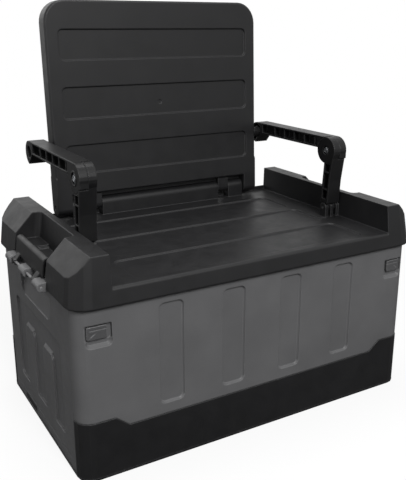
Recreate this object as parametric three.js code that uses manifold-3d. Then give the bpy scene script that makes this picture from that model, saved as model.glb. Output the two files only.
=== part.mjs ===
// Fishing seat box: a walled storage box, a lift-off seat lid with two side clips,
// a fold-down backrest and two armrests that fold with it on short legs.
// Millimetres, +Z up, origin on the floor under the middle of the box, -Y is the front.
import * as THREE from 'three';
import { mergeVertices } from 'three/addons/utils/BufferGeometryUtils.js';
import Module from 'manifold-3d';

const wasm = await Module();
wasm.setup();

// shared working values
const overrun = 20;
const pieceGap = 0.3;
const cornerSteps = 4;
const roundSteps = 28;
const smallSteps = 16;
const hexSteps = 6;
const quarterTurn = Math.PI / 2;

// storage box
const boxHalfWidth = 280;
const boxHalfDepth = 165.7;
const boxHeight = 262;
const boxSideInset = 0.3;
const boxFrontInset = 0.5;
const boxCornerRadius = 20.8;
const wallThickness = 5.5;
const cornerPieceDepth = 23.7;
const wallSplitY = boxHalfDepth - cornerPieceDepth;

// seat lid
const lidSideOverhang = 6.3;
const lidFrontOverhang = 8.1;
const lidDrop = 16.4;
const lidCornerRadius = 28;
const lidSkin = 3.5;
const seatRise = 8;
const seatDeck = 4.5;
const humpWidth = 49.8;
const humpRise = 41.5;
const lidHalfWidth = boxHalfWidth + lidSideOverhang;
const lidHalfDepth = boxHalfDepth + lidFrontOverhang;
const lidLowerZ = boxHeight - lidDrop;
const seatZ = boxHeight + seatRise;
const humpInnerX = boxHalfWidth - humpWidth;
const humpTopZ = seatZ + humpRise;

// folding linkage, seen from the side
const backPivotInset = 6.7;
const backPivotRise = 20;
const legPivotRise = 16;
const armReach = 202;
const linkHeight = 96;
const backLean = 2.7;
const backPivotY = boxHalfDepth - backPivotInset;
const backPivotZ = seatZ + backPivotRise;
const legPivotY = backPivotY - armReach;
const legPivotZ = seatZ + legPivotRise;
const armPivotZ = backPivotZ + linkHeight;
const elbowDropZ = legPivotZ - backPivotZ;

// backrest
const backSideRoom = 39.2;
const backTop = 323.4;
const backFront = 15.5;
const backRear = 12.5;
const backHalfWidth = humpInnerX - backSideRoom;

// armrests and legs
const armStandOff = 11.5;
const armWidth = 25;
const elbowRadius = 21.4;
const elbowHalf = 12.2;
const pocketDepth = 10.5;
const armInnerX = backHalfWidth + armStandOff;
const armOuterX = armInnerX + armWidth;
const elbowSplitX = armInnerX + elbowHalf;
const webInnerX = armInnerX + pocketDepth;
const webOuterX = armOuterX - pocketDepth;

// closed geometry to a solid that can be joined and cut
function toSolid(geometry) {
  const bare = geometry.clone();
  for (const name of Object.keys(bare.attributes)) {
    if (name !== 'position') bare.deleteAttribute(name);
  }
  const welded = mergeVertices(bare);
  return new wasm.Manifold(new wasm.Mesh({
    numProp: 3,
    vertProperties: new Float32Array(welded.attributes.position.array),
    triVerts: new Uint32Array(welded.index.array),
  }));
}

// solid back to a geometry
function toGeometry(solid) {
  const mesh = solid.getMesh();
  const geometry = new THREE.BufferGeometry();
  geometry.setAttribute('position', new THREE.BufferAttribute(new Float32Array(mesh.vertProperties), 3));
  geometry.setIndex(new THREE.BufferAttribute(new Uint32Array(mesh.triVerts), 1));
  geometry.computeVertexNormals();
  return geometry;
}

// mirror image from right to left, faces still outward
function mirrored(geometry) {
  const copy = geometry.clone();
  copy.scale(-1, 1, 1);
  const index = copy.index.array;
  for (let i = 0; i < index.length; i += 3) {
    [index[i], index[i + 1]] = [index[i + 1], index[i]];
  }
  copy.computeVertexNormals();
  return copy;
}

// a solid and its mirror image from right to left
function bothSides(solid) {
  return solid.add(toSolid(mirrored(toGeometry(solid))));
}

// a solid and its mirror image from front to rear
function bothEnds(solid) {
  const geometry = mirrored(toGeometry(solid));
  geometry.rotateZ(2 * quarterTurn);
  return solid.add(toSolid(geometry));
}

// a solid moved to another place
function shifted(solid, x, y, z) {
  const geometry = toGeometry(solid);
  geometry.translate(x, y, z);
  return toSolid(geometry);
}

function join(first, ...rest) {
  return rest.reduce((whole, piece) => whole.add(piece), first);
}

function cut(first, ...rest) {
  return rest.reduce((whole, piece) => whole.subtract(piece), first);
}

// places spaced evenly about the middle
function spread(count, pitch) {
  return Array.from({ length: count }, (_, i) => (i - (count - 1) / 2) * pitch);
}

// box between two corners
function block(x0, x1, y0, y1, z0, z1) {
  const geometry = new THREE.BoxGeometry(x1 - x0, y1 - y0, z1 - z0);
  geometry.translate((x0 + x1) / 2, (y0 + y1) / 2, (z0 + z1) / 2);
  return toSolid(geometry);
}

// outline with straight sides
function outline(pairs) {
  return new THREE.Shape(pairs.map(([a, b]) => new THREE.Vector2(a, b)));
}

// rectangle with round corners, the upper pair may differ
function roundedOutline(left, right, bottom, top, radius, upper = radius) {
  const shape = new THREE.Shape();
  shape.absarc(right - radius, bottom + radius, radius, -quarterTurn, 0);
  shape.absarc(right - upper, top - upper, upper, 0, quarterTurn);
  shape.absarc(left + upper, top - upper, upper, quarterTurn, 2 * quarterTurn);
  shape.absarc(left + radius, bottom + radius, radius, 2 * quarterTurn, 3 * quarterTurn);
  return shape;
}

// outline pushed to a depth, with both ends narrowed by the soft value
function pushed(shape, depth, soft) {
  const geometry = new THREE.ExtrudeGeometry(shape, {
    depth: depth - 2 * soft,
    steps: 1,
    curveSegments: cornerSteps,
    bevelEnabled: soft > 0,
    bevelThickness: soft,
    bevelSize: soft,
    bevelOffset: -soft,
    bevelSegments: 1,
  });
  geometry.translate(0, 0, soft);
  return geometry;
}

// outline in YZ pushed along X
function prismX(shape, x0, x1, soft = 0) {
  const geometry = pushed(shape, x1 - x0, soft);
  const acrossY = new THREE.Vector3(0, 1, 0);
  const upZ = new THREE.Vector3(0, 0, 1);
  const alongX = new THREE.Vector3(1, 0, 0);
  geometry.applyMatrix4(new THREE.Matrix4().makeBasis(acrossY, upZ, alongX));
  geometry.translate(x0, 0, 0);
  return toSolid(geometry);
}

// outline in XZ pushed along Y
function prismY(shape, y0, y1, soft = 0) {
  const geometry = pushed(shape, y1 - y0, soft);
  geometry.rotateX(quarterTurn);
  geometry.translate(0, y1, 0);
  return toSolid(geometry);
}

// outline in XY pushed along Z
function prismZ(shape, z0, z1, soft = 0) {
  const geometry = pushed(shape, z1 - z0, soft);
  geometry.translate(0, 0, z0);
  return toSolid(geometry);
}

// round bar along X
function barX(y, z, radius, x0, x1, steps = roundSteps) {
  const geometry = new THREE.CylinderGeometry(radius, radius, x1 - x0, steps);
  geometry.rotateZ(quarterTurn);
  geometry.translate((x0 + x1) / 2, y, z);
  return toSolid(geometry);
}

// round bar along Y
function barY(x, z, radius, y0, y1, steps = smallSteps) {
  const geometry = new THREE.CylinderGeometry(radius, radius, y1 - y0, steps);
  geometry.translate(x, (y0 + y1) / 2, z);
  return toSolid(geometry);
}

// one level of a lofted body: a rectangle with round corners
function ring(halfWidth, front, rear, radius, z) {
  const corners = [
    [halfWidth - radius, rear - radius],
    [radius - halfWidth, rear - radius],
    [radius - halfWidth, radius - front],
    [halfWidth - radius, radius - front],
  ];
  const points = [];
  corners.forEach(([x, y], quarter) => {
    for (let i = 0; i <= cornerSteps; i++) {
      const angle = (quarter + i / cornerSteps) * quarterTurn;
      points.push(x + radius * Math.cos(angle), y + radius * Math.sin(angle), z);
    }
  });
  return points;
}

// closed body through levels, from the lowest to the highest
function loft(levels) {
  const count = levels[0].length / 3;
  const index = [];
  for (let level = 0; level + 1 < levels.length; level++) {
    for (let i = 0; i < count; i++) {
      const a = level * count + i;
      const b = level * count + (i + 1) % count;
      index.push(a, b, b + count, a, b + count, a + count);
    }
  }
  const last = (levels.length - 1) * count;
  for (let i = 1; i + 1 < count; i++) {
    index.push(0, i + 1, i, last, last + i, last + i + 1);
  }
  const geometry = new THREE.BufferGeometry();
  geometry.setAttribute('position', new THREE.BufferAttribute(new Float32Array(levels.flat()), 3));
  geometry.setIndex(index);
  return toSolid(geometry);
}

// materials
function plastic(color, roughness) {
  return new THREE.MeshStandardMaterial({ color, roughness, metalness: 0 });
}

const blackPlastic = plastic(0x2b2b2d, 0.55);
const greyPlastic = plastic(0x5c5c5e, 0.5);
const paleSteel = new THREE.MeshStandardMaterial({ color: 0xb9bcc0, roughness: 0.3, metalness: 1 });

const group = new THREE.Group();

// a named mesh in a group that stands at its pivot
function addPart(name, geometry, material, x = 0, y = 0, z = 0) {
  const holder = new THREE.Group();
  holder.position.set(x, y, z);
  const mesh = new THREE.Mesh(geometry, material);
  mesh.name = name;
  holder.add(mesh);
  group.add(holder);
  return holder;
}

// right-hand mesh and its mirror image on the left
function addPair(name, solid, material, x = 0, y = 0, z = 0) {
  const geometry = toGeometry(solid);
  addPart(`right_${name}`, geometry, material, x, y, z);
  addPart(`left_${name}`, mirrored(geometry), material, -x, y, z);
}

// outer faces of the box at a height, drawn in a little towards the top
function faceX(z) {
  return boxHalfWidth - boxSideInset * z / boxHeight;
}

function faceY(z) {
  return boxHalfDepth - boxFrontInset * z / boxHeight;
}

// box body set in from its outer faces
function boxBody(inset, z0, z1) {
  const levels = [z0, z1].map((z) => ring(
    faceX(z) - inset, faceY(z) - inset, faceY(z) - inset, boxCornerRadius - inset, z,
  ));
  return loft(levels);
}

function boxShell(outerInset, innerInset, z0, z1) {
  return cut(boxBody(outerInset, z0, z1), boxBody(innerInset, z0 - overrun, z1 + overrun));
}

// everything beyond a distance in front of the middle
function frontZone(y, z0, z1) {
  const reach = boxHalfWidth + overrun;
  return block(-reach, reach, -boxHalfDepth - overrun, -y, z0, z1);
}

// base tray: floor, low rim, and a skirt at the front and rear that wraps the corners
const tray = { rimHeight: 3.2, rimProud: 1, rimWidth: 14, floorLow: 5, floorHigh: 9 };
const skirt = { proud: 0.8, inset: 2.8, middleZ: 70, endZ: 85.5, slopeStart: 49, slopeEnd: 68.5 };
const floorRib = { half: 1.5, pitch: 68, acrossCount: 7, alongCount: 3 };
const hem = { top: 17, groove: 1.2, depth: 0.6 };
const hemKey = { from: 35, to: 89.5, top: 13, depth: 4 };

// region under the sloping top line of the skirt, at the front
function underSkirtLine(lift) {
  const low = skirt.middleZ + lift;
  const high = skirt.endZ + lift;
  const slopeOuterX = boxHalfWidth - skirt.slopeStart;
  const slopeInnerX = boxHalfWidth - skirt.slopeEnd;
  const reach = boxHalfWidth + overrun;
  const line = outline([
    [-reach, -overrun], [reach, -overrun],
    [reach, high], [slopeOuterX, high], [slopeInnerX, low],
    [-slopeInnerX, low], [-slopeOuterX, high], [-reach, high],
  ]);
  return prismY(line, -boxHalfDepth - overrun, -wallSplitY);
}

function floorRibs() {
  const halfX = boxHalfWidth - tray.rimWidth + floorRib.half;
  const halfY = boxHalfDepth - tray.rimWidth + floorRib.half;
  const high = tray.floorLow + floorRib.half;
  const across = spread(floorRib.acrossCount, floorRib.pitch).map((x) => block(
    x - floorRib.half, x + floorRib.half, -halfY, halfY, 0, high,
  ));
  const along = spread(floorRib.alongCount, floorRib.pitch).map((y) => block(
    -halfX, halfX, y - floorRib.half, y + floorRib.half, 0, high,
  ));
  return join(...across, ...along);
}

function makeBaseTray() {
  const rim = boxBody(-tray.rimProud, 0, tray.rimHeight);
  const floor = boxBody(wallThickness + pieceGap, 0, tray.floorHigh);
  const hollow = boxBody(tray.rimWidth, -overrun, tray.floorLow);
  const apron = boxShell(-skirt.proud, skirt.inset, 0, boxHeight).intersect(underSkirtLine(0));
  const wideFloor = boxBody(skirt.inset / 2, 0, tray.floorHigh)
    .intersect(frontZone(wallSplitY, 0, boxHeight));
  const keyX = faceX(hemKey.top);
  const key = block(keyX - hemKey.depth, keyX, hemKey.from, hemKey.to, 0, hemKey.top);
  const raised = join(bothEnds(apron.add(wideFloor)), bothSides(key));
  return cut(join(rim, floor, raised), hollow).add(floorRibs());
}

// long walls: four upright panels, a tongue behind the skirt, laps at the corners
const panel = { count: 4, pitch: 97.8, width: 36.9, rise: 0.2, drop: 29, radius: 8, depth: 3, slope: 2 };
const tongue = { thickness: 3, depth: 30 };
const lap = { thickness: 2.5, reach: 10, bridge: 4, low: 12, high: 250 };

// corner bolts: lengths run inward from the outer end of the pocket, heights down from its top
const latch = { endMargin: 13, drop: 39, length: 36, height: 22.3, radius: 2.5, depth: 5, travel: 6 };
const scoop = { height: 31.4, depth: 4.8, radius: 6, slope: 3.6 };
const pad = { near: 11.5, far: 44.5, thickness: 4, margin: 5 };
const plate = { length: 29.5, room: 2.2, sink: 0.6, grooveHigh: 6.4, grooveLow: 7.6, grooveDepth: 0.5 };
const arrow = { near: 5.5, far: 14.5, high: 11, low: 18 };
const stem = { near: 15.5, far: 22.5, high: 8, low: 15 };
const bolt = { near: 3.3, far: 26.5, high: 6, low: 16, thickness: 4 };
const keeper = { far: 8.9, rootDepth: 11, lip: 0.9, margin: 4 };
const latchEndX = boxHalfWidth - latch.endMargin;
const latchTopZ = boxHeight - latch.drop;
const padInnerY = faceY(latchTopZ) - wallThickness - pad.thickness;
const boltFrontY = padInnerY - 2 * pieceGap;
const boltRearY = boltFrontY - bolt.thickness;
const keeperNoseY = boltFrontY + pieceGap + keeper.lip;

// pocket, finger scoop and stem slot of one latch, at the front right corner
function latchCuts() {
  const beyond = -boxHalfDepth - overrun;
  const innerX = latchEndX - latch.length;
  const pocketFloor = latch.depth - faceY(latchTopZ);
  const scoopFloor = scoop.depth - faceY(latchTopZ);
  const pocketLine = roundedOutline(innerX, latchEndX, latchTopZ - latch.height, latchTopZ, latch.radius);
  const scoopLine = roundedOutline(innerX, latchEndX, latchTopZ - scoop.height, latchTopZ, scoop.radius);
  const slot = block(
    latchEndX - stem.far - latch.travel - pieceGap, latchEndX - stem.near + pieceGap,
    -boxHalfDepth, overrun - padInnerY,
    latchTopZ - stem.low - pieceGap, latchTopZ - stem.high + pieceGap,
  );
  const scoopForm = prismY(scoopLine, beyond, scoopFloor, scoop.slope);
  return join(prismY(pocketLine, beyond, pocketFloor), scoopForm, slot);
}

function latchPad() {
  return block(
    latchEndX - pad.far, latchEndX - pad.near,
    wallThickness / 2 - faceY(latchTopZ), -padInnerY,
    latchTopZ - scoop.height - pad.margin, latchTopZ + pad.margin,
  );
}

function panelCuts() {
  const high = boxHeight - panel.drop;
  const floorY = panel.depth - faceY(high);
  const cuts = spread(panel.count, panel.pitch).map((middle) => {
    const line = roundedOutline(
      middle - panel.width / 2, middle + panel.width / 2, skirt.endZ + panel.rise, high, panel.radius,
    );
    return prismY(line, -boxHalfDepth - overrun, floorY, panel.slope);
  });
  return join(...cuts);
}

// room around a keeper, with the given clearance
function keeperZone(clearance) {
  const beyond = clearance * overrun;
  return block(
    latchEndX - keeper.far - beyond, boxHalfWidth, -keeperNoseY - beyond, beyond - wallSplitY,
    latchTopZ - bolt.low - keeper.margin - 2 * pieceGap, latchTopZ - bolt.high + keeper.margin + 2 * pieceGap,
  );
}

// strips at both ends of the wall that pass behind the end walls
function wallLaps() {
  const inner = wallThickness + pieceGap;
  const strips = boxShell(inner, inner + lap.thickness, lap.low, lap.high)
    .intersect(frontZone(wallSplitY - lap.reach, lap.low, lap.high));
  const bridges = boxShell(skirt.inset + pieceGap, inner + lap.thickness, lap.low, lap.high)
    .intersect(frontZone(wallSplitY + lap.bridge, lap.low, lap.high));
  const ends = bothSides(block(
    boxHalfWidth - boxCornerRadius - wallThickness, boxHalfWidth, -boxHalfDepth, 0, 0, boxHeight,
  ));
  return cut(strips.add(bridges).intersect(ends), bothSides(keeperZone(1)));
}

function makeLongWall() {
  const upper = boxShell(0, wallThickness, tray.rimHeight, boxHeight)
    .intersect(frontZone(wallSplitY, tray.rimHeight, boxHeight));
  const standing = cut(upper, underSkirtLine(pieceGap));
  const tongueInset = skirt.inset + pieceGap;
  const tongueLine = boxShell(
    tongueInset, tongueInset + tongue.thickness, skirt.middleZ - tongue.depth, skirt.endZ + wallThickness,
  );
  const tongueStrip = tongueLine.intersect(frontZone(wallSplitY + pieceGap, 0, boxHeight));
  const whole = join(standing, tongueStrip, wallLaps(), bothSides(latchPad()));
  return cut(whole, panelCuts(), bothSides(latchCuts()));
}

// corner latch: plate outside, stem through the wall, bolt inside
function makeLatch() {
  const floorY = faceY(latchTopZ) - latch.depth;
  const plateInnerX = latchEndX - plate.length;
  const engraveY = plate.sink + plate.grooveDepth - faceY(latchTopZ);
  const plateLine = roundedOutline(
    plateInnerX, latchEndX - plate.room,
    latchTopZ - latch.height + plate.room, latchTopZ - plate.room, latch.radius,
  );
  const cover = prismY(plateLine, -boxHalfDepth, -floorY - pieceGap)
    .intersect(boxBody(plate.sink, 0, boxHeight));
  const groove = block(
    plateInnerX - overrun, latchEndX, -boxHalfDepth, engraveY,
    latchTopZ - plate.grooveLow, latchTopZ - plate.grooveHigh,
  );
  const mark = prismY(outline([
    [latchEndX - arrow.far, latchTopZ - arrow.high],
    [latchEndX - arrow.near, latchTopZ - arrow.high],
    [latchEndX - arrow.near, latchTopZ - arrow.low],
  ]), -boxHalfDepth, engraveY);
  const shank = block(
    latchEndX - stem.far, latchEndX - stem.near, -floorY - 2 * pieceGap, -boltRearY,
    latchTopZ - stem.low, latchTopZ - stem.high,
  );
  const tip = block(
    latchEndX - bolt.far, latchEndX - bolt.near, -boltFrontY, -boltRearY,
    latchTopZ - bolt.low, latchTopZ - bolt.high,
  );
  return join(cut(cover, groove, mark), shank, tip);
}

// end walls: flutes under a shared recess, a carry recess, hinge lugs, two bolt keepers
const flute = {
  reach: 103, landInner: 21.5, landOuter: 62.5, low: 41.5, landTop: 142, drop: 85, radius: 8,
  depth: 3.4, ramp: 4.5,
};
const hand = { half: 70, drop: 31.5, height: 36.8, radius: 21, upper: 3, depth: 13, edge: 1.2, skin: 2.8 };
const rod = { outset: 11.5, rise: 4.4, radius: 2, endProud: 0.5 };
const lug = { radius: 6.3, length: 24, pitch: 65, count: 3 };
const rodX = boxHalfWidth + rod.outset;
const rodZ = lidLowerZ + rod.rise;
const lugEndY = lug.pitch * (lug.count - 1) / 2 + lug.length / 2;
const handTopZ = boxHeight - hand.drop;

// recess in the outer face, with the lands between the flutes left standing
function fluteCuts() {
  const top = boxHeight - flute.drop;
  const floorX = faceX(top) - flute.depth;
  const beyond = boxHalfWidth + overrun;
  const field = prismX(
    roundedOutline(-flute.reach, flute.reach, flute.low, top, flute.radius), floorX, beyond,
  );
  const land = prismX(
    roundedOutline(flute.landInner, flute.landOuter, flute.low - overrun, flute.landTop, flute.radius),
    floorX - overrun, beyond,
  );
  const rampTopZ = flute.landTop + flute.ramp;
  const rampLowZ = rampTopZ - overrun * flute.ramp / flute.depth;
  const ramp = prismY(
    outline([[floorX, rampLowZ], [floorX + overrun, rampLowZ], [floorX, rampTopZ]]),
    flute.landInner + flute.radius / 2, flute.landOuter - flute.radius / 2,
  );
  return cut(field, bothEnds(land.add(ramp)));
}

// cup behind the carry recess, hollow or full, with a floor that slants outward to its lower edge
function handCup(grow) {
  const line = roundedOutline(
    -hand.half - grow, hand.half + grow, handTopZ - hand.height - grow, handTopZ + grow,
    hand.radius + grow, hand.upper + grow,
  );
  const lowZ = handTopZ - hand.height - grow;
  const highZ = handTopZ + grow;
  const floorX = faceX(handTopZ) - hand.depth - grow;
  const edgeX = faceX(lowZ) - hand.edge - grow;
  const outerX = grow ? faceX(handTopZ) - grow : boxHalfWidth + overrun;
  const wedge = outline([[edgeX, lowZ], [outerX, lowZ], [outerX, highZ], [floorX, highZ]]);
  return prismX(line, floorX, outerX).intersect(prismY(wedge, -boxHalfDepth, boxHalfDepth));
}

function hingeLugs() {
  const rootX = faceX(rodZ) - wallThickness / 2;
  return join(...spread(lug.count, lug.pitch).map((y) => {
    const y0 = y - lug.length / 2;
    const y1 = y + lug.length / 2;
    const root = block(rootX, rodX, y0, y1, rodZ - lug.radius, rodZ + lug.radius);
    return root.add(barY(rodX, rodZ, lug.radius, y0, y1));
  }));
}

// lug inside the front corner that the latch bolt enters
function makeKeeper() {
  const low = latchTopZ - bolt.low - keeper.margin;
  const high = latchTopZ - bolt.high + keeper.margin;
  const seamY = wallSplitY - pieceGap;
  const rootY = wallSplitY - keeper.rootDepth;
  const innerX = latchEndX - keeper.far;
  const root = block(innerX, faceX(high) - wallThickness / 2, -seamY, -rootY, low, high);
  const nose = block(innerX, latchEndX, -keeperNoseY, -rootY, low, high);
  const hole = block(
    innerX - overrun, latchEndX - bolt.near + pieceGap,
    -boltFrontY - pieceGap, pieceGap - boltRearY,
    latchTopZ - bolt.low - pieceGap, latchTopZ - bolt.high + pieceGap,
  );
  return cut(root.add(nose), hole);
}

function makeEndWall() {
  const seamY = wallSplitY - pieceGap;
  const standZ = tray.rimHeight + pieceGap;
  const zone = block(0, boxHalfWidth + overrun, -seamY, seamY, standZ, boxHeight);
  const wall = boxShell(0, wallThickness, tray.rimHeight, boxHeight).intersect(zone);
  const groove = block(
    faceX(hem.top) - hem.depth, boxHalfWidth + overrun, -boxHalfDepth, boxHalfDepth,
    hem.top - hem.groove, hem.top,
  );
  const keySlot = block(
    faceX(hemKey.top) - hemKey.depth - pieceGap, boxHalfWidth + overrun,
    hemKey.from - pieceGap, hemKey.to + pieceGap, 0, hemKey.top + pieceGap,
  );
  const bore = barY(rodX, rodZ, rod.radius + pieceGap, -boxHalfDepth, boxHalfDepth);
  const whole = join(wall, handCup(hand.skin), bothEnds(makeKeeper()), hingeLugs());
  return cut(whole, handCup(0), fluteCuts(), groove, keySlot, bore);
}

// lid: hollow shell with two humps, notched over the clips, and a ribbed seat deck
const lid = {
  edge: 2, edgeInset: 1.7, sideInset: 9.2, frontInset: 9.8, rearInset: 2.5, cornerInset: 4, softEdge: 5,
};
const hump = { flatWidth: 24.3, shoulder: 27.5 };
const notch = {
  half: 72, wallDepth: 10.3, wallLean: 6, radius: 9, sillInset: 12.6,
  tongueInset: 12, tongueY: 28, tongueRise: 3, tongueRadius: 7,
  stepFront: 62, stepRear: 24, stepDepth: 1.5, stepInset: 7,
};
const restRibShares = [0.62, 0.8];
const deckRib = { drop: 14, half: 1.5, acrossCount: 7, alongCount: 5, pitchY: 60 };
const seatPanel = { margin: 38.7, radius: 9, depth: 2.2, slope: 1.6 };
const seatPanelShares = [[-0.945, -0.475], [-0.355, 0.117], [0.218, 0.686]];
const knuckle = {
  longShare: 0.591, shortInnerShare: 0.707, shortOuterShare: 0.864, radius: 10, wall: 3.5, cells: 4,
};
const hingeGap = 0.6;
const rearSill = { inset: 7, rise: 8, lipWidth: 2.5, lipRise: 7.2 };
const backPin = { radius: 3, sink: 1.5 };
const drum = { radius: 7.5, relief: 0.6 };
const drumShares = [[0, 0.235], [0.44, 0.655], [0.9, 1.2]];
const legPin = { radius: 1.8, sink: 2 };
const slotMark = { nearArm: 2, length: 7, front: 54.5, rear: 48.5, depth: 1.2 };
const notchFloorX = humpInnerX + notch.wallDepth + notch.wallLean;
const sillX = rodX - notch.sillInset;
const knuckleLongX = knuckle.longShare * backHalfWidth;
const knuckleInnerX = knuckle.shortInnerShare * backHalfWidth;
const knuckleOuterX = knuckle.shortOuterShare * backHalfWidth;
const drumRings = drumShares.map(([start, end]) => [
  armInnerX + start * armWidth, armInnerX + end * armWidth,
]);

// how far up the lid a height lies, from its lower edge to the top of the humps
function lidShare(z) {
  return (z - lidLowerZ) / (humpTopZ - lidLowerZ);
}

// outer faces of the lid at a height
function lidSideX(z) {
  return lidHalfWidth - lid.sideInset * lidShare(z);
}

function lidFrontY(z) {
  return lidHalfDepth - lid.frontInset * lidShare(z);
}

function lidRearY(z) {
  return lidHalfDepth - lid.rearInset * lidShare(z);
}

function lidRing(inset, z) {
  const radius = lidCornerRadius - lid.cornerInset * lidShare(z) - inset;
  return ring(lidSideX(z) - inset, lidFrontY(z) - inset, lidRearY(z) - inset, radius, z);
}

// a level of the lid at another height, with the plan that it has at this one
function lidRingAt(inset, planZ, z) {
  return lidRing(inset, planZ).map((value, i) => (i % 3 === 2 ? z : value));
}

// notch over a clip, with its inner wall leaning in towards the top
function notchForm(inset) {
  const middleX = lidHalfWidth + overrun;
  const half = notch.half + inset;
  const levels = [seatZ - (inset ? seatDeck : 0), humpTopZ + overrun].map((z) => {
    const wallX = notchFloorX - notch.wallLean * (z - seatZ) / humpRise;
    return ring(middleX - wallX + inset, half, half, notch.radius + inset, z);
  });
  return shifted(loft(levels), middleX, 0, 0);
}

// lid form set in from its outer faces, open at the bottom when set in
function lidForm(inset) {
  const edgeZ = lidLowerZ + lid.edge;
  const lowest = inset
    ? lidRingAt(inset, lidLowerZ, lidLowerZ - overrun)
    : lidRingAt(lid.edgeInset, lidLowerZ, lidLowerZ);
  const body = loft([lowest, lidRing(inset, edgeZ), lidRing(inset, humpTopZ + overrun)]);
  const shoulderZ = humpTopZ - hump.shoulder;
  const flatEndX = humpInnerX + hump.flatWidth;
  const rise = Math.atan2(hump.shoulder, lidSideX(shoulderZ) - flatEndX);
  const flatX = flatEndX - inset * Math.tan(rise / 2);
  const topZ = humpTopZ - inset;
  const reach = lidHalfWidth + overrun;
  const reachZ = topZ - (reach - flatX) * Math.tan(rise);
  const low = lidLowerZ - 2 * overrun;
  const seat = seatZ - (inset ? seatDeck : 0);
  const innerX = humpInnerX + inset;
  const profile = prismY(outline([
    [-reach, low], [reach, low], [reach, reachZ], [flatX, topZ], [innerX, topZ], [innerX, seat],
    [-innerX, seat], [-innerX, topZ], [-flatX, topZ], [-reach, reachZ],
  ]), -lidHalfDepth - overrun, lidHalfDepth + overrun);
  return cut(body.intersect(profile), bothSides(notchForm(inset)));
}

// ribs inside the humps that rest on the end walls
function humpRibs() {
  const zone = lidForm(lidSkin / 2);
  const ribs = restRibShares.map((share) => block(
    humpInnerX, boxHalfWidth, share * lidHalfDepth - deckRib.half, share * lidHalfDepth + deckRib.half,
    boxHeight + pieceGap, humpTopZ,
  ));
  return bothEnds(bothSides(join(...ribs))).intersect(zone);
}

// ribs under the seat deck
function deckRibs() {
  const halfX = humpInnerX + lidSkin / 2;
  const halfY = faceY(boxHeight) - wallThickness - 4 * pieceGap;
  const low = seatZ - deckRib.drop;
  const high = seatZ - seatDeck / 2;
  const pitchX = 2 * (halfX - deckRib.half) / (deckRib.acrossCount - 1);
  const across = spread(deckRib.acrossCount, pitchX).map((x) => block(
    x - deckRib.half, x + deckRib.half, -halfY, halfY, low, high,
  ));
  const along = spread(deckRib.alongCount, deckRib.pitchY).map((y) => block(
    -halfX, halfX, y - deckRib.half, y + deckRib.half, low, high,
  ));
  return join(...across, ...along);
}

// ledge that rests on the wall tops
function restLedge() {
  return boxShell(-pieceGap, wallThickness, boxHeight + pieceGap, seatZ - seatDeck / 2)
    .intersect(lidForm(lidSkin / 2));
}

function seatPanelCuts() {
  const half = humpInnerX - seatPanel.margin;
  return join(...seatPanelShares.map(([front, rear]) => prismZ(
    roundedOutline(-half, half, front * boxHalfDepth, rear * boxHalfDepth, seatPanel.radius),
    seatZ - seatPanel.depth, seatZ + overrun, seatPanel.slope,
  )));
}

// seat front edge rounded between the humps
function frontEdgeCut() {
  const z = seatZ - lid.softEdge;
  const y = lid.softEdge - lidFrontY(z);
  const corner = block(-humpInnerX, humpInnerX, y - lid.softEdge - overrun, y, z, seatZ + overrun);
  return cut(corner, barX(y, z, lid.softEdge, -humpInnerX - overrun, humpInnerX + overrun));
}

// hinge block of the backrest between two positions across the seat
function knuckleBlock(x0, x1, shrink) {
  const baseZ = seatZ - (shrink ? seatDeck + overrun : seatDeck / 2);
  const radius = knuckle.radius - shrink;
  const topZ = backPivotZ - (shrink ? knuckle.radius : 0);
  const y0 = backPivotY - radius;
  const rearFoot = lidRearY(seatZ) - shrink;
  const body = prismX(outline([
    [y0, baseZ], [rearFoot, baseZ], [rearFoot, seatZ],
    [backPivotY + radius, topZ], [y0, topZ],
  ]), x0, x1);
  return shrink ? body : body.add(barX(backPivotY, backPivotZ, radius, x0, x1));
}

// hinge blocks, hollow from below beside the pin
function addKnuckles(form) {
  const spans = [
    [-knuckleLongX, knuckleLongX],
    [knuckleInnerX, knuckleOuterX],
    [-knuckleOuterX, -knuckleInnerX],
  ];
  const whole = join(form, ...spans.map(([x0, x1]) => knuckleBlock(x0, x1, 0)));
  const cellWidth = 2 * knuckleLongX / knuckle.cells;
  const cells = spread(knuckle.cells, cellWidth).map((x) => [x - cellWidth / 2, x + cellWidth / 2]);
  const hollows = [...cells, ...spans.slice(1)].map(([x0, x1]) => knuckleBlock(
    x0 + knuckle.wall, x1 - knuckle.wall, knuckle.wall,
  ));
  const bore = barX(backPivotY, backPivotZ, backPin.radius + pieceGap, -humpInnerX, humpInnerX, smallSteps);
  return cut(whole, ...hollows, bore);
}

// low sill at the rear edge of the deck, wider between the hinge blocks of the backrest
function makeRearSill() {
  const topZ = seatZ + rearSill.rise;
  const rearY = lidRearY(topZ);
  const low = seatZ - seatDeck / 2;
  const reach = humpInnerX + lidSkin / 2;
  const middle = block(-knuckleOuterX, knuckleOuterX, backPivotY + rearSill.inset, rearY, low, topZ);
  return middle.add(block(-reach, reach, rearY - rearSill.lipWidth, rearY, low, seatZ + rearSill.lipRise));
}

// upright rings on the deck that carry the foot of a leg
function legDrum() {
  const rings = drumRings.map(([x0, x1]) => {
    const stand = block(
      x0, x1, legPivotY - drum.radius, legPivotY + drum.radius, seatZ - seatDeck / 2, legPivotZ,
    );
    return stand.add(barX(legPivotY, legPivotZ, drum.radius, x0, x1));
  });
  const pinEnd = drumRings[drumRings.length - 1][0] + legPin.sink + pieceGap;
  const bore = barX(legPivotY, legPivotZ, legPin.radius + pieceGap, backHalfWidth, pinEnd, smallSteps);
  return cut(join(...rings), bore);
}

function makeLegPin() {
  const innerX = drumRings[0][0] + legPin.sink / 2;
  const outerX = drumRings[drumRings.length - 1][0] + legPin.sink;
  return barX(0, 0, legPin.radius, innerX, outerX, smallSteps);
}

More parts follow.
